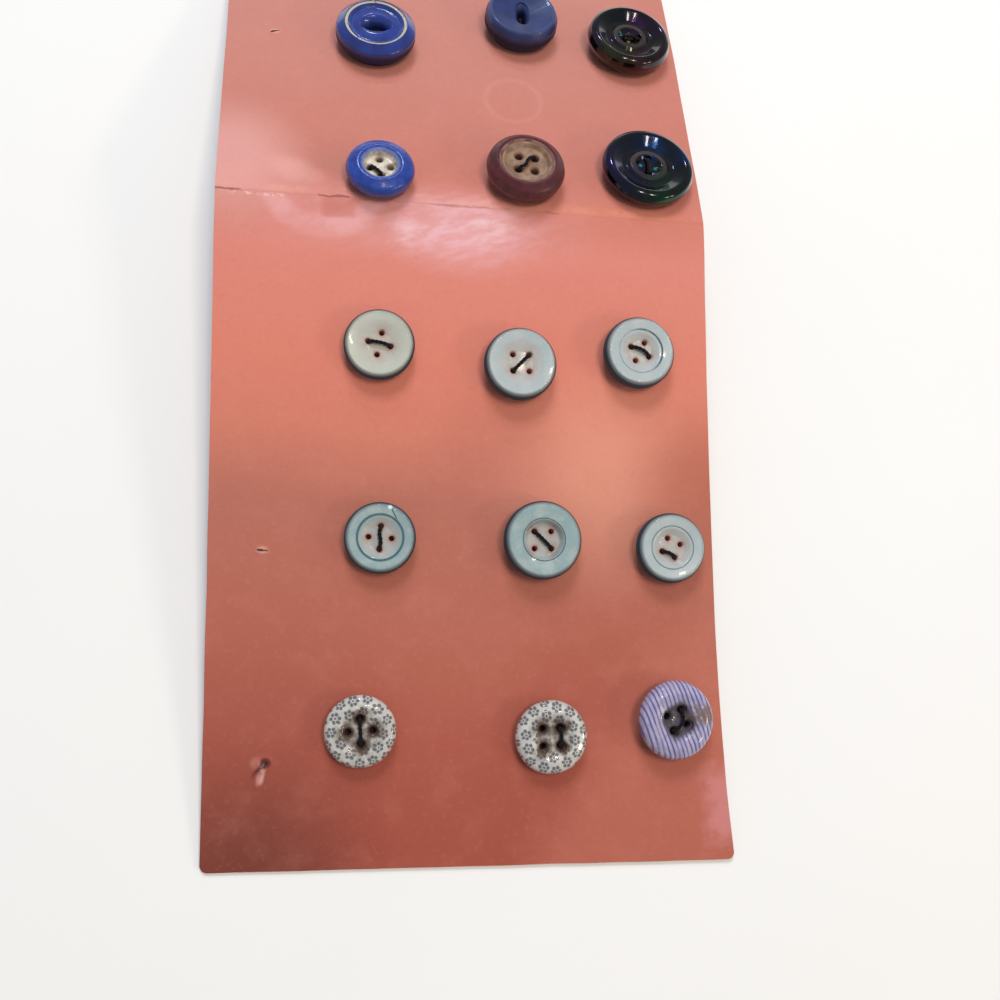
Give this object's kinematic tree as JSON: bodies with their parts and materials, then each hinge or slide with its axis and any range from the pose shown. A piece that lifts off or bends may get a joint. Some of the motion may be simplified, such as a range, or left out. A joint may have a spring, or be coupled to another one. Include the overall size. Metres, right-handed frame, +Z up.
{
  "type": "card of buttons",
  "caption": "Creased salmon card with china, glass and shell buttons stitched on with black thread, lying face up as a low tent.",
  "frame": {"origin": "middle of the box's bottom face, on the surface that the card lies on", "axes": "+Y up the card towards its top edge, +X to the right as seen from its front, +Z up, out of the card's face"},
  "size_m": [0.0839, 0.168, 0.019],
  "materials": {
    "card_stock": "satin salmon card, worn and scuffed",
    "black_thread": "twisted black cotton thread",
    "royal_blue_glass": "glossy opaque blue glass with a pale gilt ring",
    "slate_blue_glass": "satin opaque slate blue glass",
    "black_lustre_glass": "black glass with a carnival lustre",
    "blue_rimmed_china": "blue glazed rim around a soiled cream well",
    "maroon_china": "maroon rim around a tan-brown centre",
    "pearl_shell": "polished pale grey shell with a dark edge and back",
    "calico_china": "white china with small dark dot flowers",
    "striped_china": "white china with fine blue stripes"
  },
  "bodies": {
    "root": {"card": "card_stock", "button_gilt_ring_blue": "royal_blue_glass", "button_slate_blue": "slate_blue_glass", "button_black_lustre_small": "black_lustre_glass", "button_blue_rim": "blue_rimmed_china", "button_maroon": "maroon_china", "button_black_lustre_large": "black_lustre_glass", "button_pearl_plain_left": "pearl_shell", "button_pearl_plain_middle": "pearl_shell", "button_pearl_grooved": "pearl_shell", "button_pearl_cracked": "pearl_shell", "button_pearl_deep_well": "pearl_shell", "button_pearl_stepped": "pearl_shell", "button_calico_left": "calico_china", "button_calico_middle": "calico_china", "button_blue_striped": "striped_china", "stitch_gilt_ring_blue": "black_thread", "stitch_slate_blue": "black_thread", "stitch_black_lustre_small": "black_thread", "stitch_blue_rim": "black_thread", "stitch_maroon": "black_thread", "stitch_black_lustre_large": "black_thread", "stitch_pearl_plain_left": "black_thread", "stitch_pearl_plain_middle": "black_thread", "stitch_pearl_grooved": "black_thread", "stitch_pearl_cracked": "black_thread", "stitch_pearl_deep_well": "black_thread", "stitch_pearl_stepped": "black_thread", "stitch_calico_left": "black_thread", "stitch_calico_middle": "black_thread", "stitch_blue_striped": "black_thread"}
  },
  "joints": []
}
